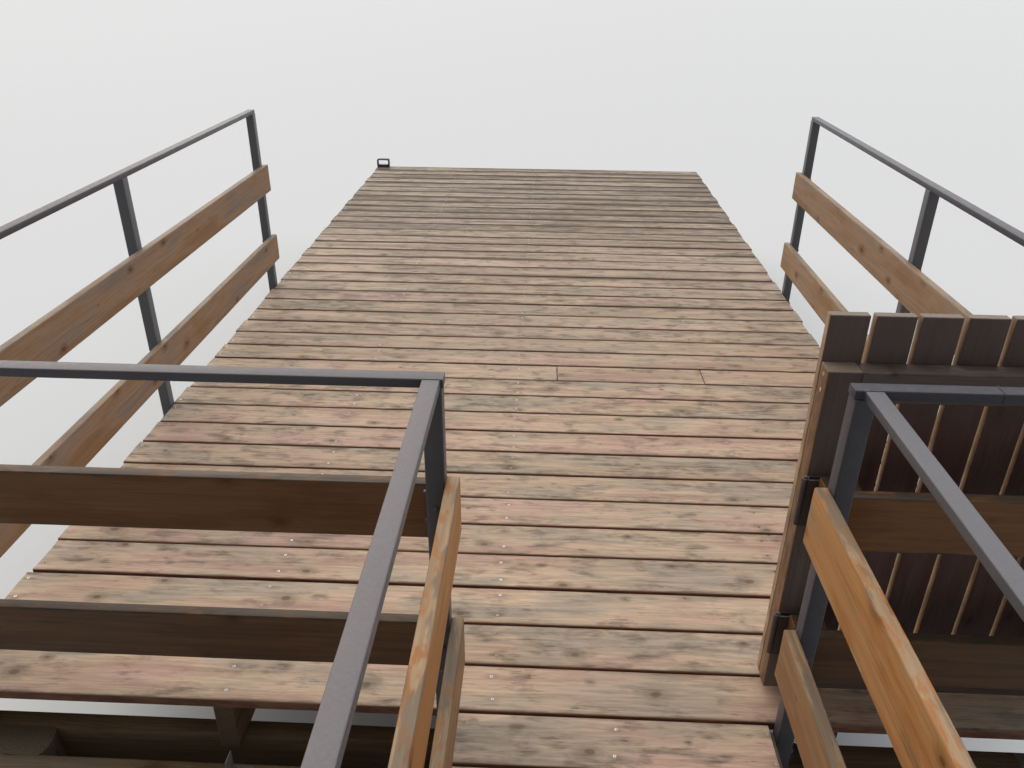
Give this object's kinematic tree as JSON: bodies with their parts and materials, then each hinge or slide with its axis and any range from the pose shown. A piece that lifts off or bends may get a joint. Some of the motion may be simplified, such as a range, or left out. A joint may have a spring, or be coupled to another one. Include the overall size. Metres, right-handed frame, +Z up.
{
  "type": "timber jetty with steel railings and a gate",
  "caption": "Timber jetty on piles: a narrow railed walkway opens through a slatted swing gate onto a wide boarded platform with steel railings.",
  "frame": {"origin": "middle of the jetty's box in plan, on the level of the pile feet", "axes": "+Y along the jetty from the shore out over the water, +X to the right of someone walking out, +Z up"},
  "size_m": [2.96, 8.994, 1.711],
  "materials": {
    "deck_timber": "weathered, dry",
    "rail_timber": "worn brown stain",
    "gate_timber": "dark brown stain",
    "frame_timber": "rough sawn, weathered",
    "pile_timber": "rough, damp",
    "railing_steel": "dark grey paint, slightly worn",
    "hinge_steel": "black paint, worn"
  },
  "bodies": {
    "jetty": {"walkway_piles": "pile_timber", "walkway_bearers": "frame_timber", "walkway_joists": "frame_timber", "platform_piles_1": "pile_timber", "platform_piles_2": "pile_timber", "platform_piles_3": "pile_timber", "platform_piles_4": "pile_timber", "platform_bearers_1": "frame_timber", "platform_bearers_2": "frame_timber", "platform_bearers_3": "frame_timber", "platform_bearers_4": "frame_timber", "edge_joists": "frame_timber", "inner_joists": "frame_timber", "deck_boards_1": "deck_timber", "deck_boards_2": "deck_timber", "deck_boards_3": "deck_timber", "deck_boards_4": "deck_timber", "deck_boards_5": "deck_timber", "walkway_boards_1": "deck_timber", "walkway_boards_2": "deck_timber", "corner_block": "deck_timber", "mooring_loop": "railing_steel", "left_side_posts": "railing_steel", "left_side_top_rail": "railing_steel", "left_side_boards": "rail_timber", "left_back_top_rail": "railing_steel", "left_back_boards": "rail_timber", "left_walkway_posts": "railing_steel", "left_walkway_top_rail": "railing_steel", "left_walkway_boards": "rail_timber", "right_side_posts": "railing_steel", "right_side_top_rail": "railing_steel", "right_side_boards": "rail_timber", "right_back_top_rail": "railing_steel", "right_back_boards": "rail_timber", "right_walkway_posts": "railing_steel", "right_walkway_top_rail": "railing_steel", "right_walkway_boards": "rail_timber", "hinge_blocks": "rail_timber", "fixed_hinges": "hinge_steel"},
    "gate": {"gate_stiles": "gate_timber", "gate_rails": "gate_timber", "gate_slats": "gate_timber", "gate_hinges": "hinge_steel"}
  },
  "joints": [
    {"name": "gate_swing", "type": "hinge", "parent": "jetty", "child": "gate", "pos_m": [0.66, -1.418, 1.2], "axis": [0, 0, 1], "range_deg": [0, 180]}
  ]
}
